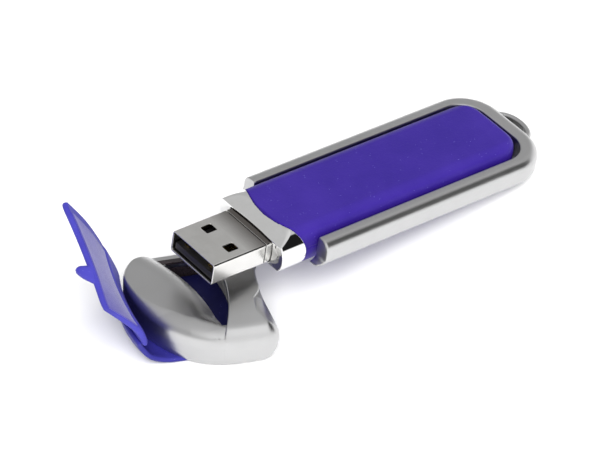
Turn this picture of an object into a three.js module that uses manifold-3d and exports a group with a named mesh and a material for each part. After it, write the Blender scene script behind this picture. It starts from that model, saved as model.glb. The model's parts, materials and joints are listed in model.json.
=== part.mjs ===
// A USB flash drive: a metal U-frame holds two leather panels, a chrome bezel carries the plug, and the
// pulled-off cap lies under the plug with its leather flap open.
// Millimetres, +Z up, X along the drive with the plug at the low end, standing on Z = 0.
import * as THREE from "three";
import { mergeVertices } from "three/addons/utils/BufferGeometryUtils.js";
import Module from "manifold-3d";

const wasm = await Module();
wasm.setup();

// ---------------------------------------------------------------- driving dimensions

const GAP = 0.3; // clearance between touching pieces

// Drive: x from the plug's tip, z from the middle of its thickness.
const PLUG = { width: 12, height: 4.5, sheet: 0.3, corner: 0.5, seam: 12.1, rear: 19.4 };
const PLUG_WINDOW = { x: 6.4, y: 3.04, length: 2.4, width: 2.0 };
const CONTACT = { pitch: 2.25, width: 1.1, height: 0.2, length: 7.4 };
const FRAME = { tip: 21.7, tail: 77.9, half: 12.2, arm: 2.95, end: 3.7, thick: 5.3, corner: 6.5, edge: 0.6 };
const LEATHER = { apex: 16.2, side: 18.7, tail: 72.7, half: 8.85, halfHeight: 4.1, round: 3.0, skin: 0.9 };
const BEZEL = { front: 13.4, rear: 20.0, half: 9.5, frontHalfHeight: 2.9, round: 2.4, rim: 0.5 };
const CORE = { wall: 0.9, front: 20.6 };
const BOARD = { front: 20.8, rear: 58, half: 6.3, thick: 0.8 };
const LUG = { outer: 4.7, bar: 1.1, thick: 2.6, stretch: 0.62 };

// The drive leans on the cap, with its tail on the ground.
const DRIVE_PITCH = THREE.MathUtils.degToRad(9.8);
const PIVOT_X = 68;

// Cap: a along its axis towards the mouth, w across it, z from the ground.
const CAP = { closed: -10.8, mouth: 15.4, half: 12.2, corner: 9.6, low: 1.1, high: 8.3, edge: 1.6 };
const BAND = { apex: 7.2, side: 4.5, crown: 9.4, round: 2.2, half: 11.7, mouthScoop: 2.4, toe: 5.5 };
const CAVITY = { wall: 1.5, floor: 1.6, roof: 7.5, mouthHalf: 9.9, mouthLow: 0.6, mouthHigh: 8.8 };
const WINDOW = { left: -3.6, half: 7.2, corner: 3.0, slope: 2.6, slopeDepth: 2.4 };
const CAP_YAW = THREE.MathUtils.degToRad(-27);

// Leather strap under the cap and the flap that stands at its closed end.
const STRAP = { half: 9.0, thick: 0.8, overhang: 1.2 };
const FLAP = { half: 9.0, thick: 1.6, split: 0.42, gap: 0.03 };
const NEAR_EDGE = [[-9.6, 3.6], [-12.8, 10.6], [-16.7, 17.0]];
const MIDDLE = [[-12.6, 3.6], [-14.2, 11.0], [-18.2, 22.0]];
const FAR_EDGE = [[-10.8, 3.6], [-12.6, 12.0], [-15.5, 20.3], [-19.5, 26.6]];

// ---------------------------------------------------------------- materials

function finish(colour, roughness, metalness) {
  return new THREE.MeshStandardMaterial({ color: colour, roughness, metalness });
}

const SATIN = finish(0xa8a9a8, 0.34, 1.0);
const CHROME = finish(0xd8dadd, 0.06, 1.0);
const STEEL = finish(0xc6c6c6, 0.18, 1.0);
const GOLD = finish(0xd4a94a, 0.3, 1.0);
const LEATHER_BLUE = finish(0x35209a, 0.5, 0.0);
const BLACK = finish(0x121214, 0.45, 0.0);
const LINER = finish(0x241c20, 0.12, 0.0);
const BOARD_GREEN = finish(0x1d5a34, 0.5, 0.0);
const CERAMIC = finish(0xb59a72, 0.6, 0.0);
const CLEAR = finish(0xf3f4f2, 0.25, 0.0);

// ---------------------------------------------------------------- solids

// A closed three.js geometry as a manifold-3d solid.
function solidOf(geometry) {
  const bare = geometry.clone();
  bare.deleteAttribute("normal");
  bare.deleteAttribute("uv");
  const merged = mergeVertices(bare, 1e-4);
  const vertProperties = merged.attributes.position.array;
  const triVerts = new Uint32Array(merged.index.array);
  return new wasm.Manifold(new wasm.Mesh({ numProp: 3, vertProperties, triVerts }));
}

// A manifold-3d solid as a three.js geometry.
function geometryOf(solid) {
  const made = solid.getMesh();
  const geometry = new THREE.BufferGeometry();
  geometry.setAttribute("position", new THREE.BufferAttribute(made.vertProperties, 3));
  geometry.setIndex(new THREE.BufferAttribute(made.triVerts, 1));
  geometry.computeVertexNormals();
  return geometry;
}

// A named sub-part, added to its group.
function piece(group, name, shape, material) {
  const geometry = shape.isBufferGeometry ? shape : geometryOf(shape);
  const mesh = new THREE.Mesh(geometry, material);
  mesh.name = name;
  group.add(mesh);
  return mesh;
}

// An outline in X and Y, extruded from one height to another.
function plate(outline, low, high, curveSegments = 6) {
  const options = { depth: high - low, bevelEnabled: false, curveSegments };
  return solidOf(new THREE.ExtrudeGeometry(outline, options).translate(0, 0, low));
}

// The same with its top and bottom edges rounded inwards.
function roundedPlate(outline, low, high, edge, curveSegments = 6, steps = 2) {
  const options = {
    depth: high - low - 2 * edge,
    bevelThickness: edge,
    bevelSize: edge,
    bevelOffset: -edge,
    bevelSegments: steps,
    curveSegments,
  };
  return solidOf(new THREE.ExtrudeGeometry(outline, options).translate(0, 0, low + edge));
}

// A section in Y and Z, extruded along X.
function bar(section, from, to, curveSegments = 4) {
  const options = { depth: to - from, bevelEnabled: false, curveSegments };
  const turn = new THREE.Matrix4().makeBasis(
    new THREE.Vector3(0, 1, 0),
    new THREE.Vector3(0, 0, 1),
    new THREE.Vector3(1, 0, 0),
  );
  return solidOf(new THREE.ExtrudeGeometry(section, options).translate(0, 0, from).applyMatrix4(turn));
}

// A side view in X and Z, extruded across Y to both sides.
function profile(side, half, curveSegments = 4) {
  const options = { depth: 2 * half, bevelEnabled: false, curveSegments };
  const turn = new THREE.Matrix4().makeRotationX(Math.PI / 2);
  return solidOf(new THREE.ExtrudeGeometry(side, options).applyMatrix4(turn).translate(0, half, 0));
}

function block(x0, x1, y0, y1, z0, z1) {
  const box = new THREE.BoxGeometry(x1 - x0, y1 - y0, z1 - z0);
  return solidOf(box.translate((x0 + x1) / 2, (y0 + y1) / 2, (z0 + z1) / 2));
}

// ---------------------------------------------------------------- outlines

// A rectangle from (x0, y0) to (x1, y1) with one radius at its low-X corners and one at its high-X corners.
function rectangle(x0, x1, y0, y1, lowRound, highRound = lowRound) {
  const shape = new THREE.Shape();
  shape.moveTo(x0 + lowRound, y0);
  shape.lineTo(x1 - highRound, y0);
  if (highRound > 0) shape.absarc(x1 - highRound, y0 + highRound, highRound, -Math.PI / 2, 0, false);
  shape.lineTo(x1, y1 - highRound);
  if (highRound > 0) shape.absarc(x1 - highRound, y1 - highRound, highRound, 0, Math.PI / 2, false);
  shape.lineTo(x0 + lowRound, y1);
  if (lowRound > 0) shape.absarc(x0 + lowRound, y1 - lowRound, lowRound, Math.PI / 2, Math.PI, false);
  shape.lineTo(x0, y0 + lowRound);
  if (lowRound > 0) shape.absarc(x0 + lowRound, y0 + lowRound, lowRound, Math.PI, 1.5 * Math.PI, false);
  return shape;
}

// The middle of a pillow section: a rectangle across Y and Z with four equal corners.
function pillow(half, low, high, round) {
  return rectangle(-half, half, low, high, round);
}

// An outline that ends towards low X in a shallow arc: its apex is at (apex, 0) and it passes (side, half).
function bowedOutline(apex, side, half, tail, tailRound) {
  const drop = side - apex;
  const radius = (half * half + drop * drop) / (2 * drop);
  const angle = Math.asin(half / radius);
  const shape = new THREE.Shape();
  shape.absarc(apex + radius, 0, radius, Math.PI - angle, Math.PI + angle, false);
  shape.lineTo(tail - tailRound, -half);
  if (tailRound > 0) shape.absarc(tail - tailRound, tailRound - half, tailRound, -Math.PI / 2, 0, false);
  shape.lineTo(tail, half - tailRound);
  if (tailRound > 0) shape.absarc(tail - tailRound, half - tailRound, tailRound, 0, Math.PI / 2, false);
  shape.lineTo(side, half);
  return shape;
}

// ---------------------------------------------------------------- the drive

const drive = new THREE.Group();

function buildFrame() {
  const outer = rectangle(FRAME.tip - 4, FRAME.tail, -FRAME.half, FRAME.half, 0, FRAME.corner);
  const innerHalf = FRAME.half - FRAME.arm;
  const innerRound = FRAME.corner - FRAME.arm;
  const inner = rectangle(FRAME.tip - 6, FRAME.tail - FRAME.end, -innerHalf, innerHalf, 0, innerRound);
  const halfThick = FRAME.thick / 2;
  const ring = roundedPlate(outer, -halfThick, halfThick, FRAME.edge)
    .subtract(plate(inner, -halfThick - 1, halfThick + 1));
  // Each arm's tip is upright above and reaches forward below in a small toe.
  const toe = 2.0;
  const side = new THREE.Shape();
  side.moveTo(FRAME.tip - toe, -halfThick - 1);
  side.lineTo(FRAME.tail + 1, -halfThick - 1);
  side.lineTo(FRAME.tail + 1, halfThick + 1);
  side.lineTo(FRAME.tip, halfThick + 1);
  side.lineTo(FRAME.tip, -halfThick + 2.4);
  side.absarc(FRAME.tip - toe, -halfThick + 2.4, toe, 0, -Math.PI / 2, true);
  piece(drive, "frame_band", ring.intersect(profile(side, FRAME.half + 1)), SATIN);
}

function buildLug() {
  // A flat loop at the tail for a key ring.
  const outer = new THREE.Shape();
  outer.absellipse(0, 0, LUG.outer * LUG.stretch, LUG.outer, 0, 2 * Math.PI, false, 0);
  const hole = new THREE.Shape();
  const holeHalf = LUG.outer - LUG.bar;
  hole.absellipse(0, 0, LUG.outer * LUG.stretch - LUG.bar, holeHalf, 0, 2 * Math.PI, false, 0);
  const halfThick = LUG.thick / 2;
  const start = FRAME.tail + GAP;
  const loop = plate(outer, -halfThick, halfThick, 12)
    .subtract(plate(hole, -halfThick - 1, halfThick + 1, 12))
    .translate([start, 0, 0])
    .intersect(block(start, start + 9, -9, 9, -9, 9))
    .add(block(start, start + 0.7, -LUG.outer * 0.97, LUG.outer * 0.97, -halfThick, halfThick));
  piece(drive, "key_ring_lug", loop, SATIN);
}

function panelSolid(inset, low, high, front) {
  const half = LEATHER.half - inset;
  const tall = LEATHER.halfHeight - inset;
  const round = Math.max(LEATHER.round - inset, 0.6);
  const outline = bowedOutline(LEATHER.apex + front, LEATHER.side + front, half, LEATHER.tail - inset, round);
  return plate(outline, low, high).intersect(bar(pillow(half, -tall, tall, round), 10, 80));
}

function buildPanels() {
  const seam = GAP / 2;
  const inside = LEATHER.skin;
  const shellInset = inside + GAP;
  const cavityInset = shellInset + CORE.wall;
  const skin = panelSolid(0, seam, 9, 0).subtract(panelSolid(inside, -9, 9, inside));
  const shell = panelSolid(shellInset, seam, 9, shellInset)
    .subtract(panelSolid(cavityInset, -9, 9, cavityInset));
  const passage = block(10, CORE.front + 2, -PLUG.width / 2 - GAP, PLUG.width / 2 + GAP, -2.6, 2.6);
  piece(drive, "leather_top_panel", skin.subtract(passage), LEATHER_BLUE);
  piece(drive, "leather_bottom_panel", skin.subtract(passage).rotate([180, 0, 0]), LEATHER_BLUE);
  piece(drive, "core_shell_top", shell.subtract(passage), BLACK);
  piece(drive, "core_shell_bottom", shell.subtract(passage).rotate([180, 0, 0]), BLACK);
}

function buildBezel() {
  // Chrome surround: its top and bottom slope up from the front rim to the leather's bowed edge.
  const section = pillow(BEZEL.half, -LEATHER.halfHeight, LEATHER.halfHeight, BEZEL.round);
  const side = new THREE.Shape();
  side.moveTo(BEZEL.front + BEZEL.rim, -BEZEL.frontHalfHeight);
  side.lineTo(LEATHER.apex + 0.6, -LEATHER.halfHeight);
  side.lineTo(BEZEL.rear, -LEATHER.halfHeight);
  side.lineTo(BEZEL.rear, LEATHER.halfHeight);
  side.lineTo(LEATHER.apex + 0.6, LEATHER.halfHeight);
  side.lineTo(BEZEL.front + BEZEL.rim, BEZEL.frontHalfHeight);
  side.lineTo(BEZEL.front, BEZEL.frontHalfHeight - BEZEL.rim);
  side.lineTo(BEZEL.front, BEZEL.rim - BEZEL.frontHalfHeight);
  const bowed = bowedOutline(LEATHER.apex - GAP, LEATHER.side - GAP, LEATHER.half + GAP, 90, 0);
  const slot = pillow(PLUG.width / 2 + GAP, -PLUG.height / 2 - GAP, PLUG.height / 2 + GAP, PLUG.corner + GAP);
  const waist = FRAME.half - FRAME.arm - GAP;
  const neck = block(FRAME.tip - 2.6, 30, waist, 20, -9, 9);
  const shell = bar(section, BEZEL.front, BEZEL.rear)
    .intersect(profile(side, BEZEL.half + 1))
    .subtract(plate(bowed, -9, 9))
    .subtract(bar(slot, 0, 40))
    .subtract(neck)
    .subtract(neck.mirror([0, 1, 0]));
  piece(drive, "bezel", shell, CHROME);
}

function buildPlug() {
  const half = PLUG.width / 2;
  const tall = PLUG.height / 2;
  const section = pillow(half, -tall, tall, PLUG.corner);
  const bore = pillow(half - PLUG.sheet, PLUG.sheet - tall, tall - PLUG.sheet, PLUG.corner - 0.2);
  const tube = bar(section, 0, PLUG.seam).subtract(bar(bore, -1, PLUG.seam + 1));
  const window = block(
    PLUG_WINDOW.x - PLUG_WINDOW.length / 2,
    PLUG_WINDOW.x + PLUG_WINDOW.length / 2,
    -PLUG_WINDOW.width / 2,
    PLUG_WINDOW.width / 2,
    -tall - 1,
    tall + 1,
  );
  const shell = tube
    .subtract(window.translate([0, PLUG_WINDOW.y, 0]))
    .subtract(window.translate([0, -PLUG_WINDOW.y, 0]));
  piece(drive, "plug_shell", shell, STEEL);
  const collar = bar(section, PLUG.seam + 0.2, PLUG.rear).subtract(bar(bore, 0, 40));
  piece(drive, "plug_collar", collar, STEEL);

  // The insulator fills the lower half of the shell and carries four contacts on its upper face.
  const wall = PLUG.sheet + GAP;
  const tongueTop = -0.35;
  const tongue = block(0.6, PLUG.rear - 1, wall - half, half - wall, wall - tall, tongueTop)
    .add(block(PLUG.seam - 1, PLUG.rear - 1, wall - half, half - wall, tongueTop - 0.5, tall - wall));
  piece(drive, "plug_insulator", tongue, BLACK);
  const names = ["contact_power", "contact_data_minus", "contact_data_plus", "contact_ground"];
  names.forEach((name, index) => {
    const y = (index - 1.5) * CONTACT.pitch;
    const from = index === 0 || index === 3 ? 1.4 : 2.4;
    const low = tongueTop + 0.1;
    const strip = block(from, from + CONTACT.length, -CONTACT.width / 2, CONTACT.width / 2, low, low + CONTACT.height);
    piece(drive, name, strip.translate([0, y, 0]), GOLD);
  });
}

function buildElectronics() {
  const low = -BOARD.thick / 2;
  const top = BOARD.thick / 2 + 0.1;
  piece(drive, "circuit_board", block(BOARD.front, BOARD.rear, -BOARD.half, BOARD.half, low, -low), BOARD_GREEN);
  piece(drive, "controller_chip", block(26, 33, -3.5, 3.5, top, top + 0.9), BLACK);
  piece(drive, "memory_chip", block(37, 49, -5.8, 5.8, -top - 0.9, -top), BLACK);
  const can = rectangle(-2.4, 2.4, -1, 1, 0.99);
  piece(drive, "crystal", plate(can, top, top + 1.1, 4).translate([38.5, 3.6, 0]), STEEL);
  piece(drive, "indicator_led", block(54.5, 56.1, -0.4, 0.4, top, top + 0.6), CLEAR);
  [[24, -4.6], [35, -4.4], [43, -1.5], [50.5, 3.8]].forEach(([x, y], index) => {
    piece(drive, `capacitor_${index + 1}`, block(x, x + 1.6, y, y + 0.8, top, top + 0.7), CERAMIC);
  });
}

buildFrame();
buildLug();
buildPanels();
buildBezel();
buildPlug();
buildElectronics();

// ---------------------------------------------------------------- the cap

const cap = new THREE.Group();

// Everything on the mouth side of the band's bowed edge; grow moves the edge towards the mouth.
function mouthSide(grow, low, high) {
  const drop = BAND.apex - BAND.side;
  const half = CAP.half + 1;
  const radius = (BAND.half * BAND.half + drop * drop) / (2 * drop);
  const angle = Math.asin(half / radius);
  const shape = new THREE.Shape();
  shape.absarc(BAND.apex - radius + grow, 0, radius, -angle, angle, false);
  shape.lineTo(40, half);
  shape.lineTo(40, -half);
  return plate(shape, low, high, 10);
}

function capOutline(inset, mouth) {
  const half = CAP.half - inset;
  return rectangle(CAP.closed + inset, mouth, -half, half, CAP.corner - inset, 0);
}

function mouthEnvelope() {
  // Side view: upright at the top, with a rounded toe below.
  const side = new THREE.Shape();
  side.moveTo(CAP.closed - 1, -1);
  side.lineTo(CAP.mouth - BAND.toe, -1);
  side.lineTo(CAP.mouth - BAND.toe, 0);
  side.absarc(CAP.mouth - BAND.toe, BAND.toe, BAND.toe, -Math.PI / 2, 0, false);
  side.lineTo(CAP.mouth, 12);
  side.lineTo(CAP.closed - 1, 12);
  // Seen from above, the mouth's lip is scooped to clear the leather's bowed edge.
  const half = BAND.half - 2;
  const radius = (half * half + BAND.mouthScoop * BAND.mouthScoop) / (2 * BAND.mouthScoop);
  const scoop = new THREE.Shape();
  scoop.absarc(CAP.mouth - BAND.mouthScoop + radius, 0, radius, 0, 2 * Math.PI, false);
  return profile(side, CAP.half + 1, 6).subtract(plate(scoop, -1, 12, 24));
}

function buildCapShell() {
  const slab = roundedPlate(capOutline(0, CAP.mouth + 5), CAP.low, CAP.high, CAP.edge, 8, 3);
  const band = bar(pillow(BAND.half, 0, BAND.crown, BAND.round), CAP.closed, CAP.mouth + 5)
    .intersect(mouthSide(0, -1, 12));
  const cavityHalf = CAP.half - CAVITY.wall;
  const hollow = plate(capOutline(CAVITY.wall, CAP.mouth + 9), CAVITY.floor, CAVITY.roof, 8)
    .intersect(block(-30, 40, -cavityHalf, cavityHalf, -1, 12));
  const mouthSection = pillow(CAVITY.mouthHalf, CAVITY.mouthLow, CAVITY.mouthHigh, 1.6);
  const mouthHollow = bar(mouthSection, CAP.closed, CAP.mouth + 9).intersect(mouthSide(1.0, -1, 12));
  // The window's left and side walls slope down into the cap like a bowl; its right wall is the band's edge.
  const rim = rectangle(
    WINDOW.left - WINDOW.slope,
    BAND.apex + 6,
    -WINDOW.half - WINDOW.slope,
    WINDOW.half + WINDOW.slope,
    WINDOW.corner + WINDOW.slope,
    0,
  );
  const bowl = roundedPlate(rim, CAP.high - WINDOW.slopeDepth, 20, WINDOW.slopeDepth, 6, 4);
  const window = bowl.subtract(mouthSide(0, -1, 30));
  const shell = slab.add(band).intersect(mouthEnvelope()).subtract(hollow).subtract(mouthHollow).subtract(window);
  piece(cap, "cap_shell", shell, SATIN);
}

function buildCapInside() {
  const clear = CAVITY.wall + GAP;
  const ring = plate(capOutline(clear, 4), 2.9, CAVITY.roof - GAP, 8)
    .subtract(plate(capOutline(clear + 0.9, 9), 0, 12, 8))
    .subtract(block(WINDOW.left - 1.2, 20, -WINDOW.half - 1.2, WINDOW.half + 1.2, 5.4, 12));
  piece(cap, "cap_liner", ring, LINER);
  const pad = plate(capOutline(clear + 0.4, 5), CAVITY.floor + 0.2, 2.5, 6);
  piece(cap, "cap_floor_leather", pad, LEATHER_BLUE);
}

// A point of the flap: across from -1 (near edge) to 1 (far edge), along from 0 (root) to 1 (tail edge).
const edgeCurves = [NEAR_EDGE, MIDDLE, FAR_EDGE].map((points) => {
  return new THREE.SplineCurve(points.map(([x, z]) => new THREE.Vector2(x, z)));
});

function flapPoint(across, along) {
  const [near, middle, far] = edgeCurves.map((curve) => curve.getPointAt(along));
  const weights = [across * (across - 1) / 2, 1 - across * across, across * (across + 1) / 2];
  const x = near.x * weights[0] + middle.x * weights[1] + far.x * weights[2];
  const z = near.y * weights[0] + middle.y * weights[1] + far.y * weights[2];
  return new THREE.Vector3(x, across * FLAP.half, z);
}

// A curved sheet of even thickness between two stations of the flap.
function flapSheet(from, to, thick, columns, rows) {
  const step = 1e-3;
  const positions = [];
  for (const side of [1, -1]) {
    for (let row = 0; row <= rows; row += 1) {
      for (let column = 0; column <= columns; column += 1) {
        const across = 2 * column / columns - 1;
        const along = from + (to - from) * row / rows;
        const ahead = Math.min(along + step, 1);
        const point = flapPoint(across, along);
        const up = flapPoint(across, ahead).sub(flapPoint(across, ahead - step));
        const over = flapPoint(across + step, along).sub(flapPoint(across - step, along));
        const normal = over.cross(up).normalize();
        positions.push(...point.addScaledVector(normal, side * thick / 2).toArray());
      }
    }
  }
  const layer = (rows + 1) * (columns + 1);
  const at = (side, row, column) => side * layer + row * (columns + 1) + column;
  const faces = [];
  const quad = (a, b, c, d) => faces.push(a, b, c, a, c, d);
  for (let row = 0; row < rows; row += 1) {
    for (let column = 0; column < columns; column += 1) {
      quad(at(0, row, column), at(0, row, column + 1), at(0, row + 1, column + 1), at(0, row + 1, column));
      quad(at(1, row, column), at(1, row + 1, column), at(1, row + 1, column + 1), at(1, row, column + 1));
    }
    quad(at(0, row, 0), at(0, row + 1, 0), at(1, row + 1, 0), at(1, row, 0));
    quad(at(0, row, columns), at(1, row, columns), at(1, row + 1, columns), at(0, row + 1, columns));
  }
  for (let column = 0; column < columns; column += 1) {
    quad(at(0, 0, column), at(1, 0, column), at(1, 0, column + 1), at(0, 0, column + 1));
    quad(at(0, rows, column), at(0, rows, column + 1), at(1, rows, column + 1), at(1, rows, column));
  }
  const geometry = new THREE.BufferGeometry();
  geometry.setAttribute("position", new THREE.Float32BufferAttribute(positions, 3));
  geometry.setIndex(faces);
  geometry.computeVertexNormals();
  return geometry;
}

function buildFlap() {
  // The strap lies under the closed half of the cap and turns up round its closed end.
  const outline = rectangle(CAP.closed - STRAP.overhang, 20, -STRAP.half, STRAP.half, 7.0, 0);
  const base = plate(outline, 0, STRAP.thick, 8).subtract(mouthSide(-GAP, -1, 2));
  piece(cap, "strap_base", base, LEATHER_BLUE);
  piece(cap, "flap_lower", flapSheet(0, FLAP.split - FLAP.gap, FLAP.thick, 8, 4), LEATHER_BLUE);
  piece(cap, "flap_upper", flapSheet(FLAP.split + FLAP.gap, 1, FLAP.thick, 8, 6), LEATHER_BLUE);
}

buildCapShell();
buildCapInside();
buildFlap();

// ---------------------------------------------------------------- assembly

function lowestPoint(group) {
  return new THREE.Box3().setFromObject(group, true).min.z;
}

const leanShift = PIVOT_X * (1 - Math.cos(DRIVE_PITCH)) + FRAME.thick / 2 * Math.sin(DRIVE_PITCH);
drive.rotation.y = DRIVE_PITCH;
drive.position.set(leanShift, 0, 0);
drive.position.z = -lowestPoint(drive);
cap.rotation.z = CAP_YAW;

// The origin is under the middle of the whole object, on the ground.
const object = new THREE.Group();
object.add(drive, cap);
const centre = new THREE.Box3().setFromObject(object, true).getCenter(new THREE.Vector3());
for (const group of [drive, cap]) {
  group.position.x -= centre.x;
  group.position.y -= centre.y;
}

export default object;
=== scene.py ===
"""The looks of a USB flash drive in a metal U-frame, with its pulled-off cap and the cap's leather flap."""

import json
import math

import bpy
import numpy as np
from mathutils import Matrix, Vector


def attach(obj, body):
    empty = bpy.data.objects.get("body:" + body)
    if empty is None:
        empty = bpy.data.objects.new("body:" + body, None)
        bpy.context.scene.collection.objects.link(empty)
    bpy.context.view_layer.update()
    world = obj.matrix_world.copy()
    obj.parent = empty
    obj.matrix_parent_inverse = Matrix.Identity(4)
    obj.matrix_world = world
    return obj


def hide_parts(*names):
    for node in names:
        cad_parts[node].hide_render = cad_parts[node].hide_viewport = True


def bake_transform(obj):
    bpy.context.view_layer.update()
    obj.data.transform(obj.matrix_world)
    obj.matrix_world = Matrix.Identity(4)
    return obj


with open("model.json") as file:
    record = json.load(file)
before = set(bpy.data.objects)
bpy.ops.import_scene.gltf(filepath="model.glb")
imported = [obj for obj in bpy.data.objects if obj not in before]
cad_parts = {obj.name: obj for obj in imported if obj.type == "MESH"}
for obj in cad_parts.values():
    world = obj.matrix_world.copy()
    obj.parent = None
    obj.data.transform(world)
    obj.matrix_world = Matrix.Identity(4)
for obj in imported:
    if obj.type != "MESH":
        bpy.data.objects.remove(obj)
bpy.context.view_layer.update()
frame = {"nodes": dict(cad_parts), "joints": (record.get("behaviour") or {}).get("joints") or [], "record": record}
MM = 0.001

# ---------------------------------------------------------------- the two local frames, in millimetres

record = frame["record"]
mounts = {m["name"]: m for m in record["mounts"]}
joints = {j["name"]: j for j in frame["joints"]}


def local_frame(origin, x_axis, y_axis, z_axis):
    """The matrix from a local frame in metres to the row frame."""
    turn = Matrix((x_axis, y_axis, z_axis)).transposed().to_4x4()
    return Matrix.Translation(origin) @ turn


# Drive: x from the plug's tip towards the tail, z from the middle of its thickness.
PLUG_FACE_X, PLUG_HALF_HEIGHT = 3.0, 2.25
drive_up = Vector(mounts["plug_top_face"]["axis"])
drive_x = Vector((0, 1, 0)).cross(drive_up)
drive_origin = (
    Vector(mounts["plug_top_face"]["pos_m"]) - drive_x * PLUG_FACE_X * MM - drive_up * PLUG_HALF_HEIGHT * MM
)
DRIVE = local_frame(drive_origin, drive_x, Vector((0, 1, 0)), drive_up)

# Cap: x along it towards its mouth, y across it, z from the ground.
GROUND_FACE_X = -4.0
cap_across = Vector(joints["flap_lift"]["axis"])
cap_x = cap_across.cross(Vector((0, 0, 1)))
CAP = local_frame(
    Vector(mounts["ground_face"]["pos_m"]) - cap_x * GROUND_FACE_X * MM, cap_x, cap_across, Vector((0, 0, 1))
)

# ---------------------------------------------------------- solids as distance functions, in millimetres


def both(a, b, fillet=0.0):
    """Where two solids overlap, with the edge between them rounded."""
    if np.ndim(fillet) == 0 and fillet <= 0:
        return np.maximum(a, b)
    corner = np.hypot(np.maximum(fillet + a, 0), np.maximum(fillet + b, 0))
    return np.minimum(-fillet, np.maximum(a, b)) + corner


def either(a, b, fillet=0.0):
    """Two solids joined, with the inside corner between them rounded."""
    return -both(-a, -b, fillet)


def without(a, b, fillet=0.0):
    """The first solid with the second cut out of it."""
    return both(a, -b, fillet)


def rounded_rectangle(x, y, low, high, radius):
    """Signed distance in a plane to a rectangle from low to high with round corners."""
    across = np.abs(x - (low[0] + high[0]) / 2) - (high[0] - low[0]) / 2 + radius
    along = np.abs(y - (low[1] + high[1]) / 2) - (high[1] - low[1]) / 2 + radius
    outside = np.hypot(np.maximum(across, 0), np.maximum(along, 0))
    return outside + np.minimum(np.maximum(across, along), 0) - radius


def slab(z, low, high):
    """Signed distance to the space between two parallel planes."""
    return np.abs(z - (low + high) / 2) - (high - low) / 2


def arc_front(x, y, apex, side, half):
    """Negative behind an arc that has its apex at (apex, 0) and passes (side, half)."""
    drop = side - apex
    radius = (half * half + drop * drop) / (2 * drop)
    return np.where(x < apex + radius, np.hypot(x - apex - radius, y) - radius, -radius)


CORNERS = [(i, j, k) for i in (0, 1) for j in (0, 1) for k in (0, 1)]
EDGES = [(a, b) for a in CORNERS for b in CORNERS if a < b and sum(abs(p - q) for p, q in zip(a, b)) == 1]


def slopes(solid, points, step=0.01):
    """The distance function's gradient at some points."""
    columns = []
    for axis in range(3):
        shift = np.zeros(3)
        shift[axis] = step
        columns.append((solid(*(points + shift).T) - solid(*(points - shift).T)) / (2 * step))
    return np.stack(columns, 1)


def quads_between(inside, index):
    """A quad for each grid edge that crosses the surface, joining the points of the four cells round it."""
    size = np.array(inside.shape) - 1
    quads = []
    for axis in range(3):
        one, two = [a for a in range(3) if a != axis]
        trimmed = [slice(1, n) for n in size]
        trimmed[axis] = slice(0, size[axis])
        here = inside[tuple(trimmed)]
        trimmed[axis] = slice(1, size[axis] + 1)
        there = inside[tuple(trimmed)]
        crossed = np.argwhere(here != there)
        enters = there[tuple(crossed.T)]
        crossed[:, one] += 1
        crossed[:, two] += 1
        ring = []
        for down_one, down_two in ((1, 1), (0, 1), (0, 0), (1, 0)):
            cellwise = crossed.copy()
            cellwise[:, one] -= down_one
            cellwise[:, two] -= down_two
            ring.append(index[tuple(cellwise.T)])
        ring = np.stack(ring, 1)
        outward = enters if axis == 1 else ~enters
        ring[~outward] = ring[~outward][:, ::-1]
        quads.append(ring)
    return np.concatenate(quads)


def surface_of(solid, low, high, cell):
    """The surface where a distance function is zero, as points on it, quads and normals."""
    axes = [np.arange(a - 1.5 * cell, b + 2 * cell, cell) for a, b in zip(low, high)]
    value = solid(*np.meshgrid(*axes, indexing="ij"))
    inside = value < 0
    size = np.array(value.shape) - 1

    def at(grid, corner):
        return grid[tuple(slice(c, c + n) for c, n in zip(corner, size))]

    count = sum(at(inside, c).astype(np.int8) for c in CORNERS)
    active = (count > 0) & (count < 8)
    index = np.full(active.shape, -1)
    index[active] = np.arange(active.sum())
    held = {c: at(value, c)[active] for c in CORNERS}
    total, crossings = np.zeros((len(held[CORNERS[0]]), 3)), 0
    for a, b in EDGES:
        crosses = (held[a] < 0) != (held[b] < 0)
        share = np.where(crosses, held[a] / np.where(crosses, held[a] - held[b], 1), 0)
        point = np.array(a) + share[:, None] * (np.array(b) - np.array(a))
        total += point * crosses[:, None]
        crossings = crossings + crosses
    where = np.argwhere(active) + total / crossings[:, None]
    points = np.array([a[0] for a in axes]) + where * cell
    for _ in range(3):
        slope = slopes(solid, points)
        move = solid(*points.T)[:, None] * slope / np.maximum((slope**2).sum(1), 0.2)[:, None]
        points -= np.clip(move, -cell / 2, cell / 2)
    normals = slopes(solid, points)
    normals /= np.linalg.norm(normals, axis=1)[:, None] + 1e-9
    return points, quads_between(inside, index), normals


def new_object(name, points, faces, where, normals=None):
    """A smooth mesh from points in millimetres of a local frame."""
    mesh = bpy.data.meshes.new(name)
    mesh.from_pydata((np.asarray(points) * MM).tolist(), [], np.asarray(faces).tolist())
    mesh.update()
    mesh.polygons.foreach_set("use_smooth", np.ones(len(mesh.polygons), bool))
    if normals is not None:
        mesh.normals_split_custom_set_from_vertices(np.asarray(normals).tolist())
    made = bpy.data.objects.new(name, mesh)
    bpy.context.scene.collection.objects.link(made)
    made.matrix_world = where
    return made


def carve(name, solid, low, high, cell, where):
    """A piece from its distance function."""
    points, faces, normals = surface_of(solid, low, high, cell)
    return new_object(name, points, faces, where, normals)


# ---------------------------------------------------------------- materials


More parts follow.
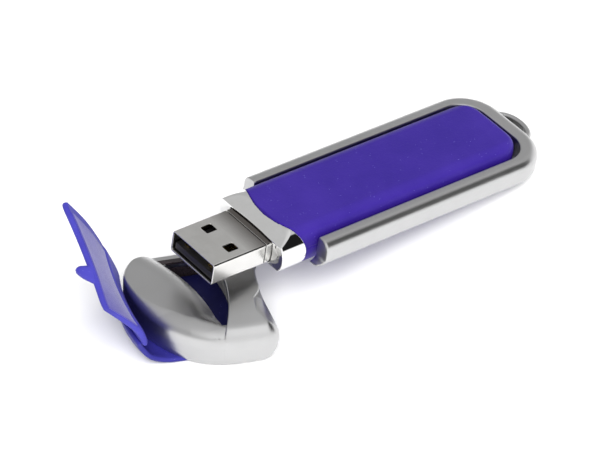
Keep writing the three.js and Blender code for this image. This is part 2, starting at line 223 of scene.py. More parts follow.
class Nodes:
    """A material's node tree, with short ways to add and join nodes."""

    def __init__(self, name):
        self.material = bpy.data.materials.new(name)
        self.material.use_nodes = True
        self.tree = self.material.node_tree
        self.shader = self.tree.nodes["Principled BSDF"]

    def add(self, kind, **sockets):
        node = self.tree.nodes.new(kind)
        for key, value in sockets.items():
            if isinstance(value, bpy.types.NodeSocket):
                self.tree.links.new(value, node.inputs[key.replace("_", " ")])
            else:
                node.inputs[key.replace("_", " ")].default_value = value
        return node

    def set(self, **sockets):
        for key, value in sockets.items():
            socket = self.shader.inputs[key.replace("_", " ")]
            if isinstance(value, bpy.types.NodeSocket):
                self.tree.links.new(value, socket)
            else:
                socket.default_value = value

    def millimetres(self, stretch=(1, 1, 1)):
        """The piece's own coordinates in millimetres, which may be stretched along an axis."""
        place = self.tree.nodes.new("ShaderNodeTexCoord")
        mapping = self.add("ShaderNodeMapping", Vector=place.outputs["Object"])
        mapping.inputs["Scale"].default_value = [s / MM for s in stretch]
        return mapping.outputs["Vector"]

    def noise(self, where, scale, detail=3.0, roughness=0.55):
        node = self.add("ShaderNodeTexNoise", Vector=where, Scale=scale, Detail=detail, Roughness=roughness)
        return node.outputs["Fac"]

    def cells(self, where, scale, feature="F1"):
        node = self.add("ShaderNodeTexVoronoi", Vector=where, Scale=scale)
        node.feature = feature
        return node.outputs["Distance"]

    def ranged(self, value, low, high, to_low, to_high):
        node = self.tree.nodes.new("ShaderNodeMapRange")
        self.tree.links.new(value, node.inputs["Value"])
        for key, number in (("From Min", low), ("From Max", high), ("To Min", to_low), ("To Max", to_high)):
            node.inputs[key].default_value = number
        return node.outputs["Result"]

    def mixed(self, share, first, second):
        node = self.tree.nodes.new("ShaderNodeMix")
        node.data_type = "RGBA"
        for index, value in ((0, share), (6, first), (7, second)):
            if isinstance(value, bpy.types.NodeSocket):
                self.tree.links.new(value, node.inputs[index])
            else:
                node.inputs[index].default_value = value
        return node.outputs[2]

    def plus(self, first, second, weight=1.0):
        """first + weight * second."""
        node = self.tree.nodes.new("ShaderNodeMath")
        node.operation = "MULTIPLY_ADD"
        self.tree.links.new(second, node.inputs[0])
        node.inputs[1].default_value = weight
        self.tree.links.new(first, node.inputs[2])
        return node.outputs[0]

    def times(self, first, second):
        """first * second."""
        node = self.tree.nodes.new("ShaderNodeMath")
        node.operation = "MULTIPLY"
        self.tree.links.new(first, node.inputs[0])
        self.tree.links.new(second, node.inputs[1])
        return node.outputs[0]

    def bump(self, height, strength, depth_mm):
        node = self.add("ShaderNodeBump", Height=height, Strength=strength, Distance=depth_mm * MM)
        self.set(Normal=node.outputs["Normal"])


def colour(red, green, blue):
    return (red, green, blue, 1.0)


def satin_metal():
    """Satin nickel: a fine grain under slow clouding."""
    nodes = Nodes("satin_nickel_plate")
    place = nodes.millimetres()
    grain = nodes.noise(place, 9.0, 4.0, 0.7)
    clouds = nodes.noise(place, 0.16, 2.0)
    shade = nodes.mixed(clouds, colour(0.49, 0.49, 0.49), colour(0.55, 0.55, 0.555))
    nodes.set(Base_Color=shade, Metallic=1.0)
    nodes.set(Roughness=nodes.ranged(nodes.plus(grain, clouds, 0.6), 0.4, 1.3, 0.30, 0.38))
    nodes.bump(grain, 0.12, 0.02)
    return nodes.material


def mirror_chrome():
    """Bright chrome with faint smudges and wipe marks."""
    nodes = Nodes("bright_chrome")
    smudge = nodes.noise(nodes.millimetres(), 0.5, 4.0, 0.6)
    wipe = nodes.noise(nodes.millimetres((0.4, 3.0, 3.0)), 3.0, 2.0)
    shade = nodes.mixed(smudge, colour(0.80, 0.80, 0.79), colour(0.90, 0.90, 0.90))
    nodes.set(Base_Color=shade, Metallic=1.0)
    nodes.set(Roughness=nodes.ranged(nodes.plus(smudge, wipe, 0.4), 0.4, 1.0, 0.03, 0.09))
    nodes.bump(wipe, 0.03, 0.01)
    return nodes.material


# Where the painted dark reflection on the plug's upper face starts and where it is full, from the plug's tip.
REFLECTION_START, REFLECTION_END = 8.0, 12.6


def plug_steel():
    """Brushed steel. Its upper face darkens towards the bezel, in place of the photo's reflection."""
    nodes = Nodes("plug_steel")
    brushed = nodes.noise(nodes.millimetres((0.12, 6.0, 6.0)), 3.0, 3.0)
    stains = nodes.noise(nodes.millimetres(), 0.35, 3.0)
    clean = nodes.mixed(stains, colour(0.64, 0.63, 0.61), colour(0.76, 0.755, 0.74))
    place = nodes.tree.nodes.new("ShaderNodeTexCoord")
    along = nodes.add("ShaderNodeSeparateXYZ", Vector=place.outputs["Object"])
    facing = nodes.add("ShaderNodeSeparateXYZ", Vector=place.outputs["Normal"])
    near_bezel = nodes.ranged(along.outputs["X"], REFLECTION_START * MM, REFLECTION_END * MM, 0.0, 0.86)
    upper = nodes.ranged(facing.outputs["Z"], 0.6, 0.95, 0.0, 1.0)
    # The painted reflection: the upper face darkens near the bezel.
    with_painted_reflection = nodes.mixed(nodes.times(near_bezel, upper), clean, colour(0.075, 0.06, 0.05))
    nodes.set(Base_Color=with_painted_reflection, Metallic=1.0)
    nodes.set(Roughness=nodes.ranged(nodes.plus(brushed, stains, 0.6), 0.4, 1.2, 0.17, 0.27))
    nodes.bump(brushed, 0.05, 0.01)
    return nodes.material


def blue_leather(name, dark, light, grain=1.0):
    """Finished leather: fine pebbled grain, slow clouding and tiny bright dots of painted glint."""
    nodes = Nodes(name)
    place = nodes.millimetres()
    pebbles = nodes.cells(place, 2.6 * grain, "SMOOTH_F1")
    pores = nodes.noise(place, 7.0 * grain, 4.0, 0.6)
    clouds = nodes.noise(place, 0.12, 3.0)
    base = nodes.mixed(nodes.ranged(clouds, 0.3, 0.7, 0.0, 1.0), dark, light)
    # Tiny bright dots painted into the colour as glints.
    painted_glints = nodes.ranged(nodes.cells(place, 1.5 * grain), 0.05, 0.09, 1.0, 0.0)
    rare = nodes.ranged(nodes.noise(place, 0.55, 2.0), 0.50, 0.58, 0.0, 0.7)
    speckled = nodes.mixed(nodes.times(painted_glints, rare), base, colour(0.35, 0.35, 0.85))
    nodes.set(Base_Color=speckled, Specular_IOR_Level=0.22)
    nodes.set(Roughness=nodes.ranged(pores, 0.3, 0.7, 0.42, 0.58))
    nodes.bump(nodes.plus(pebbles, pores, 0.7), 0.35, 0.05)
    return nodes.material


def suede_lining():
    """A napped violet lining, worn lighter in places."""
    nodes = Nodes("suede_lining")
    place = nodes.millimetres()
    nap = nodes.noise(place, 6.0, 5.0, 0.7)
    worn = nodes.noise(place, 0.5, 3.0)
    base = nodes.mixed(nodes.plus(worn, nap, 0.4), colour(0.050, 0.044, 0.20), colour(0.095, 0.085, 0.31))
    nodes.set(Base_Color=base, Specular_IOR_Level=0.2, Sheen_Weight=0.4, Sheen_Roughness=0.4)
    nodes.set(Roughness=nodes.ranged(nap, 0.3, 0.7, 0.75, 0.95))
    nodes.bump(nap, 0.5, 0.06)
    return nodes.material


def moulded(name, first, second, rough):
    """A moulded or fired surface between two colours."""
    nodes = Nodes(name)
    texture = nodes.noise(nodes.millimetres(), 5.0, 3.0)
    nodes.set(Base_Color=nodes.mixed(texture, first, second))
    nodes.set(Roughness=nodes.ranged(texture, 0.3, 0.7, rough * 0.85, rough * 1.15))
    nodes.bump(texture, 0.15, 0.02)
    return nodes.material


def gold_flash():
    """Thin gold plating, worn along the way a plug slides."""
    nodes = Nodes("gold_flash")
    wear = nodes.noise(nodes.millimetres((0.3, 3.0, 3.0)), 2.0, 3.0)
    shade = nodes.mixed(wear, colour(0.78, 0.55, 0.2), colour(0.86, 0.68, 0.34))
    nodes.set(Base_Color=shade, Metallic=1.0)
    nodes.set(Roughness=nodes.ranged(wear, 0.3, 0.7, 0.18, 0.32))
    return nodes.material


SATIN = satin_metal()
CHROME = mirror_chrome()
STEEL = plug_steel()
LEATHER = blue_leather("panel_leather", colour(0.024, 0.009, 0.19), colour(0.032, 0.013, 0.22))
FLAP_LEATHER = blue_leather("flap_leather", colour(0.030, 0.026, 0.24), colour(0.048, 0.044, 0.33), 1.2)
# The strap is the flap's leather painted a shade darker: painted shade where it curls under the cap.
STRAP_LEATHER = blue_leather("strap_leather", colour(0.020, 0.018, 0.17), colour(0.031, 0.028, 0.24), 1.2)
# The cap's floor leather is the blue leather made near black: painted shade inside the cap.
SHADED_FLOOR_LEATHER = blue_leather("floor_leather", colour(0.003, 0.003, 0.028), colour(0.005, 0.005, 0.05), 1.2)
LINING = suede_lining()
BLACK = moulded("black_moulding", colour(0.008, 0.008, 0.009), colour(0.016, 0.015, 0.016), 0.35)
LINER = moulded("dark_gloss_moulding", colour(0.012, 0.009, 0.012), colour(0.03, 0.022, 0.025), 0.1)
GREEN = moulded("solder_mask", colour(0.01, 0.10, 0.04), colour(0.02, 0.15, 0.06), 0.4)
CERAMIC = moulded("fired_ceramic", colour(0.45, 0.34, 0.22), colour(0.55, 0.44, 0.30), 0.6)
LENS = moulded("clear_moulding", colour(0.85, 0.86, 0.85), colour(0.95, 0.95, 0.94), 0.2)
GOLD = gold_flash()

# CAD nodes that keep their own shape and only get a finish.
CARRIED_OVER = {
    "core_shell_top": BLACK,
    "core_shell_bottom": BLACK,
    "plug_insulator": BLACK,
    "circuit_board": GREEN,
    "controller_chip": BLACK,
    "memory_chip": BLACK,
    "crystal": STEEL,
    "indicator_led": LENS,
}
CARRIED_OVER.update({f"contact_{signal}": GOLD for signal in ("power", "data_minus", "data_plus", "ground")})
CARRIED_OVER.update({f"capacitor_{n}": CERAMIC for n in range(1, 5)})


def dress(piece, material, slot, body, *nodes):
    """The finish, body and CAD nodes of a finished piece."""
    piece.data.materials.clear()
    piece.data.materials.append(material)
    if body:
        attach(piece, body)
    if nodes:
        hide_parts(*nodes)


# ---------------------------------------------------------------- the drive

BAND = {"tip": 21.7, "tail": 77.9, "half": 12.2, "arm": 2.95, "end": 3.7, "half_thick": 2.65, "corner": 8.0}
BAND.update({"edge": 1.8, "inner_edge": 0.35, "toe": 1.4, "toe_high": 1.8})
PANEL = {"apex": 16.2, "side": 18.7, "tail": 72.7, "half": 8.85, "half_height": 4.1, "corner": 4.8}
PANEL.update({"round": 3.0, "crown": 0.18, "tail_round": 1.3, "box_height": 4.4})
NOSE = {"front": 13.4, "rear": 20.0, "half": 9.5, "front_half_height": 2.9, "round": 4.0, "rim": 0.5}
NOSE.update({"dish": 0.5, "dish_half": 8.5, "dish_half_height": 3.2, "neck": 2.6, "slot_gap": 0.12})
PLUG = {"half": 6.0, "half_height": 2.25, "sheet": 0.3, "corner": 0.5, "seam": 12.1, "rear": 19.4}
LATCH = {"front": 4.8, "rear": 7.2, "inner": 2.14, "outer": 4.14, "corner": 0.3}
LUG = {"outer": 4.7, "bar": 1.1, "half_thick": 1.3, "stretch": 0.62, "foot": 0.75, "sunk": 0.2}
# Well in front of the frame and the panels, so that their outlines are open towards the plug.
BEYOND = -40
# The spacing of the grids that the surfaces are found on.
CELL = {"frame": 0.25, "leather": 0.3, "cap": 0.2, "fine": 0.14}


def band_solid(x, y, z):
    """The U-shaped frame, open towards the plug, with a small toe under each arm's tip."""
    half, thick = BAND["half"], BAND["half_thick"]
    outline = rounded_rectangle(x, y, (BEYOND, -half), (BAND["tail"], half), BAND["corner"])
    inner_half = half - BAND["arm"]
    inner_round = BAND["corner"] - BAND["arm"]
    inner_tail = BAND["tail"] - BAND["end"]
    inner = rounded_rectangle(x, y, (BEYOND, -inner_half), (inner_tail, inner_half), inner_round)
    body = without(both(outline, slab(z, -thick, thick), BAND["edge"]), inner, BAND["inner_edge"])
    toe, toe_high = BAND["toe"], BAND["toe_high"] - thick
    hollow = toe - np.hypot(x - BAND["tip"] + toe, z - toe_high)
    hook = both(BAND["tip"] - toe - x, both(z - toe_high, hollow))
    return both(body, either(BAND["tip"] - x, hook), 0.3)


def panel_solid(x, y, z):
    """A padded leather body: flat on top, well rounded at its sides and tail, bowed at its front."""
    half, tall = PANEL["half"], PANEL["half_height"]
    crown = PANEL["crown"] * (1 - np.clip(y / half, -1, 1) ** 2)
    section = rounded_rectangle(y, z / (1 + crown / tall), (-half, -tall), (half, tall), PANEL["round"])
    plan = rounded_rectangle(x, y, (BEYOND, -half), (PANEL["tail"], half), PANEL["corner"])
    body = both(section, plan, PANEL["tail_round"])
    return both(body, arc_front(x, y, PANEL["apex"], PANEL["side"], half), 0.12)


def half_panel(sign):
    """The upper panel for a sign of 1 and the lower one for -1, with a hairline between them."""
    return lambda x, y, z: both(panel_solid(x, y, z), 0.03 - sign * z, 0.1)


def nose_solid(x, y, z):
    """The bezel: its top and bottom slope from the front rim up to the leather's bowed edge."""
    tall, wide = PANEL["half_height"], NOSE["half"]
    section = rounded_rectangle(y, z, (-wide, -tall), (wide, tall), NOSE["round"])
    start = NOSE["front"] + NOSE["rim"]
    angle = math.atan2(tall - NOSE["front_half_height"], PANEL["apex"] + 0.6 - start)
    slope = (np.abs(z) - NOSE["front_half_height"]) * math.cos(angle) - (x - start) * math.sin(angle)
    off_middle = np.hypot(y / NOSE["dish_half"], z / NOSE["dish_half_height"])
    dish = NOSE["dish"] * (1 - np.clip(off_middle, 0, 1) ** 2)
    body = both(both(section, slope, 0.25), (NOSE["front"] + dish - x) * 0.9, 0.22)
    body = both(body, x - NOSE["rear"], 0.2)
    waist = BAND["half"] - BAND["arm"] - 0.3
    neck = both(BAND["tip"] - NOSE["neck"] - x, waist - np.abs(y))
    body = without(body, neck, 0.25)
    leather = arc_front(x, y, PANEL["apex"] - 0.06, PANEL["side"] - 0.06, PANEL["half"])
    body = without(body, leather, 0.12)
    slot_half, slot_tall = PLUG["half"] + NOSE["slot_gap"], PLUG["half_height"] + NOSE["slot_gap"]
    slot = rounded_rectangle(y, z, (-slot_half, -slot_tall), (slot_half, slot_tall), 0.6)
    return without(body, slot, 0.15)


def plug_section(y, z, inset):
    """The plug's outline from its tip, drawn in by an inset."""
    half, tall = PLUG["half"] - inset, PLUG["half_height"] - inset
    return rounded_rectangle(y, z, (-half, -tall), (half, tall), PLUG["corner"] - inset / 2)


def tube_between(x, y, z, front, rear):
    """A length of the plug's sheet-metal tube."""
    tube = without(plug_section(y, z, 0.0), plug_section(y, z, PLUG["sheet"]), 0.05)
    return both(tube, slab(x, front, rear), 0.1)


def plug_solid(x, y, z):
    """The plug's tube with its two latch windows, on both broad sides."""
    low, high = (LATCH["front"], LATCH["inner"]), (LATCH["rear"], LATCH["outer"])
    window = rounded_rectangle(x, np.abs(y), low, high, LATCH["corner"])
    return without(tube_between(x, y, z, 0, PLUG["seam"]), window, 0.08)


def collar_solid(x, y, z):
    """The tube's rear part, past a narrow seam."""
    return tube_between(x, y, z, PLUG["seam"] + 0.18, PLUG["rear"])


def lug_solid(x, y, z):
    """A low loop at the tail for a key ring."""
    start = BAND["tail"] - LUG["sunk"]
    inner = LUG["outer"] - LUG["bar"]
    outer_x = LUG["outer"] * LUG["stretch"]
    outer = (np.hypot((x - start) / outer_x, y / LUG["outer"]) - 1) * outer_x
    hole_x = outer_x - LUG["bar"]
    hole = (np.hypot((x - start) / hole_x, y / inner) - 1) * hole_x
    foot = both(outer, x - start - LUG["foot"])
    body = both(outer, start - x)
    body = either(without(body, hole, 0.2), foot, 0.3)
    return both(both(body, start - x), slab(z, -LUG["half_thick"], LUG["half_thick"]), 0.45)


def make_frame():
    half, thick = BAND["half"], BAND["half_thick"]
    low, high = (BAND["tip"] - 2, -half, -thick), (BAND["tail"], half, thick)
    band = carve("u_frame", band_solid, low, high, CELL["frame"], DRIVE)
    dress(band, SATIN, "satin_nickel", "drive", "frame_band")


def make_leather():
    half, tall = PANEL["half"], PANEL["box_height"]
    for name, sign in (("leather_top", 1), ("leather_bottom", -1)):
        low = (PANEL["apex"], -half, min(0, sign * tall))
        high = (PANEL["tail"], half, max(0, sign * tall))
        panel = carve(name, half_panel(sign), low, high, CELL["leather"], DRIVE)
        dress(panel, LEATHER, "blue_leather", "drive", name + "_panel")


def make_bezel():
    half, tall = NOSE["half"], PANEL["half_height"]
    low, high = (NOSE["front"], -half, -tall), (NOSE["rear"], half, tall)
    nose = carve("bezel_shell", nose_solid, low, high, CELL["fine"], DRIVE)
    dress(nose, CHROME, "chrome", "drive", "bezel")


def make_plug():
    half, tall = PLUG["half"], PLUG["half_height"]
    for name, solid, front, rear, node in (
        ("plug_tube", plug_solid, 0, PLUG["seam"], "plug_shell"),
        ("plug_neck", collar_solid, PLUG["seam"], PLUG["rear"], "plug_collar"),
    ):
        tube = carve(name, solid, (front, -half, -tall), (rear, half, tall), CELL["fine"], DRIVE)
        dress(tube, STEEL, "plug_steel", "drive", node)


def make_lug():
    half, thick, tail = LUG["outer"], LUG["half_thick"], BAND["tail"]
    low, high = (tail - LUG["sunk"], -half, -thick), (tail + 3, half, thick)
    lug = carve("key_ring_loop", lug_solid, low, high, CELL["fine"], DRIVE)
    dress(lug, SATIN, "satin_nickel", "drive", "key_ring_lug")


# ---------------------------------------------------------------- the cap

SHELL = {"closed": -10.7, "mouth": 15.2, "half": 12.2, "high": 8.3, "wall": 1.2}
SHELL.update({"far_half": 12.9, "far_corner": 7.4, "near_corner": 18.5, "mouth_corner": 2.6})
SIDE = {"waist": 4.1, "bulge": 4.75, "crease": 2.25, "foot": 1.5, "closed_foot": 3.0}
COLLAR = {"apex": 7.2, "side": 4.5, "half": 11.7, "crown": 9.4, "edge": 8.15, "toe": 6.0}
COLLAR.update({"wall": 0.95, "lap": 0.6})
SCOOP = {"half": 8.0, "depth": 2.2, "round": 2.2}
OPENING = {"near": (4.7, -8.7), "far": (-3.4, 10.9), "bow": 1.6}
OPENING.update({"far_side": 10.4, "far_corner": 1.0, "low": 3.0})
ROLL = {"radius": 6.0, "reach": 4.2, "deepest": 2.2, "near_end": -9.6, "fade": 4.0}
BELT = {"closed": 1.0, "high": 6.6}
SOLE = {"past_step": 1.0, "thick": 1.3}
TRAY = {"gap": 0.1, "wall": 0.8, "low": 1.3, "floor": 2.0, "high": 6.4, "past_step": 1.0, "box_end": 9.5}
PAD = {"inset": 2.3, "low": 2.03, "high": 2.6, "past_step": 0.8}
# A drawn-in side makes a distance function steeper than 1 in 1, and these bring it back.
SIDE_SCALE, CLOSED_SCALE = 0.85, 0.9


def arc_through(first, last, bow):
    """Centre and radius of the arc from first to last that bulges by bow to the right of that direction."""
    first, last = np.array(first), np.array(last)
    half = np.linalg.norm(last - first) / 2
    along = (last - first) / (2 * half)
    outward = np.array([along[1], -along[0]])
    radius = (half**2 + bow**2) / (2 * bow)
    return (first + last) / 2 + outward * (bow - radius), radius


def past_step(x, y, shift=0.0):
    """Negative on the mouth side of the raised collar's bowed edge."""
    drop = COLLAR["apex"] - COLLAR["side"]
    radius = (COLLAR["half"] ** 2 + drop**2) / (2 * drop)
    return radius - np.hypot(x - COLLAR["apex"] + radius - shift, y)


def past_window(x, y):
    """Distance from the window's slanting edge, positive on its closed side."""
    centre, radius = arc_through(OPENING["near"], OPENING["far"], OPENING["bow"])
    return radius - np.hypot(x - centre[0], y - centre[1])


def cap_plan(x, y):
    """The cap from above: its closed end is full on the far side and swept back on the near side."""
    closed, half = SHELL["closed"], SHELL["half"]
    far = both(closed - x, y - SHELL["far_half"], SHELL["far_corner"])
    near = both(closed - x, -half - y, SHELL["near_corner"])
    return np.maximum(far, near)


def near_share(y):
    """1 on the cap's near side, falling to 0.3 on its far side, whose top edge is fuller."""
    return 0.3 + 0.7 * np.clip((6 - y) / 10, 0, 1)


def tuck(x, y, z):
    """How far the cap's side is drawn in at a height, above its waist and at its foot."""
    above = np.clip(z - SIDE["waist"], 0, SIDE["bulge"] * 0.97) * near_share(y)
    foot = SIDE["foot"] + (SIDE["closed_foot"] - SIDE["foot"]) * np.clip((1.5 - x) / 9, 0, 1)
    under = np.clip(foot - z, 0, foot)
    return SIDE["bulge"] - np.sqrt(SIDE["bulge"] ** 2 - above**2) + foot - np.sqrt(foot**2 - under**2)


def side_wall(x, y, z):
    """The side of the cap, without a top or an underside."""
    return (cap_plan(x, y) + tuck(x, y, z)) * SIDE_SCALE


def closed_half(x, y, z, inset=0.0):
    """The closed half: its top rolls over all round, and down towards the window."""
    short = np.clip(ROLL["reach"] - past_window(x, y), 0, ROLL["radius"] * 0.97)
    fade = np.clip((y - ROLL["near_end"]) / ROLL["fade"], 0, 1)
    drop = (ROLL["radius"] - np.sqrt(ROLL["radius"] ** 2 - short**2)) * fade
    top = (z - SHELL["high"] + np.minimum(drop, ROLL["deepest"])) * CLOSED_SCALE
    upright = 0.6 + 0.4 * np.clip((x + 1) / 4.5, 0, 1)
    side = (cap_plan(x, y) + upright * tuck(x, y, z)) * CLOSED_SCALE
    body = both(side + inset, top + inset, 2.0 * near_share(y))
    return both(body, inset - z)


def mouth_half(x, y, z, inset=0.0):
    """The raised half: a shallow dome with a crease along each side."""
    rise = COLLAR["crown"] - COLLAR["edge"]
    span = SHELL["half"] - SIDE["crease"]
    radius = (span**2 + rise**2) / (2 * rise)
    dome = np.hypot(y, z - COLLAR["crown"] + radius) - radius
    plan = both(cap_plan(x, y), both(x - SHELL["mouth"], np.abs(y) - SHELL["half"], SHELL["mouth_corner"]))
    side = (plan + tuck(x, y, z)) * SIDE_SCALE
    return both(both(side + inset, dome + inset, 0.3), inset - z)


def mouth_lip(x, y, z):
    """Negative behind the mouth: rounded up from the ground, and scooped out in the middle."""
    toe, mouth = COLLAR["toe"], SHELL["mouth"]
    low = (z < toe) & (x > mouth - toe)
    lip = np.where(low, np.hypot(x - mouth + toe, z - toe) - toe, x - mouth)
    radius = (SCOOP["half"] ** 2 + SCOOP["depth"] ** 2) / (2 * SCOOP["depth"])
    scoop = radius - np.hypot(x - mouth + SCOOP["depth"] - radius, y)
    return both(lip, scoop, SCOOP["round"])


def cap_solid(x, y, z):
    """A low egg-shaped box with a raised collar round its mouth and a slanting window in its top."""
    room = both(closed_half(x, y, z, SHELL["wall"]), x - SHELL["mouth"])
    shut = without(closed_half(x, y, z), room, 0.1)
    edges = both(past_window(x, y), y - OPENING["far_side"], OPENING["far_corner"])
    window = both(edges, both(OPENING["low"] - z, OPENING["near"][1] - y))
    shut = without(shut, window, 0.2)
    shut = both(shut, -past_step(x, y, COLLAR["lap"]))
    hollow = mouth_half(x, y, z, COLLAR["wall"])
    mouth = both(mouth_half(x, y, z), mouth_lip(x, y, z), 0.35)
    collar = without(both(mouth, past_step(x, y), 0.25), hollow, 0.15)
    belt = without(both(mouth, z - BELT["high"]), hollow)
    sole = both(mouth_half(x, y, z), both(x - COLLAR["apex"] - SOLE["past_step"], z - SOLE["thick"]))
    low_part = both(either(belt, sole), BELT["closed"] - x)
    return either(either(shut, collar, 0.05), low_part)


def tray_solid(x, y, z):
    """The dark moulded tray inside the closed half."""
    edge = SHELL["wall"] + TRAY["gap"]
    block = both(side_wall(x, y, z) + edge, slab(z, TRAY["low"], TRAY["high"]))
    room = both(side_wall(x, y, z) + edge + TRAY["wall"], TRAY["floor"] - z)
    tray = without(block, room, 0.1)
    return both(tray, -past_step(x, y, TRAY["past_step"]), 0.1)


def floor_solid(x, y, z):
    """The leather that shows on the cap's floor."""
    plan = both(side_wall(x, y, z) + PAD["inset"], -past_step(x, y, PAD["past_step"]), 0.2)
    return both(plan, slab(z, PAD["low"], PAD["high"]), 0.2)


def make_cap():
    low, far = (SHELL["closed"], -SHELL["half"], 0), SHELL["far_half"]
    shell = carve("cap_case", cap_solid, low, (SHELL["mouth"], far, COLLAR["crown"]), CELL["cap"], CAP)
    dress(shell, SATIN, "satin_nickel", "cap", "cap_shell")
    tray = carve("cap_tray", tray_solid, low, (TRAY["box_end"], far, TRAY["high"]), CELL["cap"], CAP)
    dress(tray, LINER, "liner_plastic", "cap", "cap_liner")
    pad = carve("cap_floor_pad", floor_solid, low, (TRAY["box_end"], far, PAD["high"]), CELL["cap"], CAP)
    dress(pad, SHADED_FLOOR_LEATHER, "blue_leather", "cap", "cap_floor_leather")


# ---------------------------------------------------------------- the strap and the flap

# Curves along the leaf and, as ROOT, along the strap: x and z in the cap's frame.
STRAP_HALF = 9.0
NEAR = [(-8.8, 3.6), (-10.4, 9.4), (-16.7, 17.0)]
MIDDLE = [(-11.9, 3.6), (-12.2, 9.5), (-18.2, 22.0)]
FAR = [(-11.2, 3.6), (-12.0, 9.0), (-16.4, 20.3), (-20.8, 27.6)]
NEAR_ROOT = [(0.8, 0.56), (-4.4, 0.6), (-7.8, 2.0), (-9.6, 4.4), (-10.3, 6.4)]
MIDDLE_ROOT = [(0.8, 0.56), (-9.0, 0.6), (-11.1, 1.9), (-12.0, 4.6), (-12.4, 6.8)]
FAR_ROOT = [(0.8, 0.56), (-8.0, 0.6), (-10.4, 1.9), (-11.3, 4.4), (-11.7, 7.0)]


def spline(points):
    """A smooth curve through points, by share of its length."""
    points = np.array(points, float)
    before, after = [2 * points[0] - points[1]], [2 * points[-1] - points[-2]]
    padded = np.concatenate([before, points, after])
    steps = np.linspace(0, 1, 40, endpoint=False)
    run = []
    for a, b, c, d in zip(padded, padded[1:], padded[2:], padded[3:]):
        square, cube = 2 * a - 5 * b + 4 * c - d, 3 * b - a - 3 * c + d
        run += [0.5 * (2 * b + (c - a) * t + square * t**2 + cube * t**3) for t in steps]
    run = np.array(run + [points[-1]])
    length = np.concatenate([[0], np.cumsum(np.linalg.norm(np.diff(run, axis=0), axis=1))])
    share = length / length[-1]
    return lambda t: np.stack([np.interp(t, share, run[:, 0]), np.interp(t, share, run[:, 1])], -1)


def ruled(near, middle, far):
    """A surface through three curves, from across -1 to 1 and along 0 to 1."""
    curves = [spline(c) for c in (near, middle, far)]

    def place(across, along):
        a, b, c = [curve(along) for curve in curves]
        one, two, three = across * (across - 1) / 2, 1 - across**2, across * (across + 1) / 2
        side = a * one[..., None] + b * two[..., None] + c * three[..., None]
        return np.stack([side[..., 0], across * STRAP_HALF, side[..., 1]], -1)

    return place


def eased(count):
    """Stations from 0 to 1, closer together at both ends."""
    return (1 - np.cos(np.linspace(0, math.pi, count))) / 2


def crosswise(count):
    """Stations from -1 to 1, closer together at both ends."""
    return -np.cos(np.linspace(0, math.pi, count))


def sheet_piece(name, place, across, along, half_thick, lift=None):
    """A closed leather sheet with rounded edges over a surface of the cap's frame.

    lift gives how far its inner face stands proud, in millimetres, from the distances to its four edges.
    """
    u, v = np.meshgrid(across, along, indexing="ij")
    middle = place(u, v)
    over = np.gradient(middle, axis=0)
    up = np.gradient(middle, axis=1)
    normal = np.cross(over, up)
    normal /= np.linalg.norm(normal, axis=-1)[..., None] + 1e-9
    step_u = np.linalg.norm(np.diff(middle, axis=0), axis=-1)
    step_v = np.linalg.norm(np.diff(middle, axis=1), axis=-1)
    run_u = np.concatenate([np.zeros((1, len(along))), np.cumsum(step_u, 0)])
    run_v = np.concatenate([np.zeros((len(across), 1)), np.cumsum(step_v, 1)], 1)
    edge = np.minimum(np.minimum(run_u, run_u[-1] - run_u), np.minimum(run_v, run_v[:, -1:] - run_v))
    curve = np.sqrt(np.clip(1 - (1 - np.minimum(edge / half_thick, 1)) ** 2, 0, 1))
    raised = lift(run_u, run_u[-1] - run_u, run_v, run_v[:, -1:] - run_v) if lift else 0
    front = middle + normal * (half_thick * curve + raised)[..., None]
    back = middle - normal * (half_thick * curve)[..., None]
    points = np.concatenate([front.reshape(-1, 3), back.reshape(-1, 3)])
    grid = np.arange(u.size).reshape(u.shape)
    quad = np.stack([grid[:-1, :-1], grid[1:, :-1], grid[1:, 1:], grid[:-1, 1:]], -1).reshape(-1, 4)
    faces = [quad, quad[:, ::-1] + u.size]
    made = new_object(name, points, np.concatenate(faces), CAP)
    weld = made.modifiers.new("weld", "WELD")
    weld.merge_threshold = 0.02 * MM
    apply_modifiers(made)
    return made


def apply_modifiers(piece):
    """Bakes a piece's modifiers into its mesh and keeps it smooth."""
    evaluated = piece.evaluated_get(bpy.context.evaluated_depsgraph_get())
    mesh = bpy.data.meshes.new_from_object(evaluated)
    piece.modifiers.clear()
    piece.data = mesh
    mesh.polygons.foreach_set("use_smooth", np.ones(len(mesh.polygons), bool))


LEAF = ruled(NEAR, MIDDLE, FAR)
ROOT = ruled(NEAR_ROOT, MIDDLE_ROOT, FAR_ROOT)
# How far along its curves the leaf starts, and how much of its length the raised border takes.
LEAF_START, BORDER = 0.14, 0.36
TIP = {"corner": 0.22, "depth": 0.06}
RIDGE = {"high": 0.25, "groove": 0.2, "groove_at": 1.04, "end_fade": 1.5}
LINING_EDGE = {"near": -0.99, "far": 0.78, "root": BORDER + 0.03, "tip": 0.965}
TAB = {"near": -0.5, "across": -0.36, "far": -0.2, "along": 0.965, "length": 3.3, "half": 1.7, "taper": 0.9}
TAB.update({"forward": 0.92, "rise": 0.30, "skew": 0.5, "round_from": 0.6, "round": 0.17})
HALF_THICK = {"strap": 0.48, "leaf": 0.58, "lining": 0.12, "tab": 0.6}
LINING_RISE = 0.06


def rounded_tip(across, along):
    """Draws the tail edge in towards both corners, so that they are round."""
    past = np.maximum(np.abs(across) - (1 - TIP["corner"]), 0) / TIP["corner"]
    return along * (1 - TIP["depth"] * (1 - np.sqrt(np.clip(1 - past**2, 0, 1))))


def leaf_place(u, v):
    """The leaf's surface: the part of its curves that starts above the strap."""
    return LEAF(u, LEAF_START + (1 - LEAF_START) * rounded_tip(u, v))


def border(near, far, root, tip):
    """The root side's border stands proud of the leaf, with a groove along its inner edge."""
    distance = root / (root + tip) / BORDER
    fade = np.clip(np.minimum(near, far) / RIDGE["end_fade"], 0, 1)
    ridge = RIDGE["high"] * np.clip((1.0 - distance) * 8, 0, 1)
    groove = RIDGE["groove"] * np.exp(-((distance - RIDGE["groove_at"]) * 14) ** 2)
    return fade * (ridge - groove)


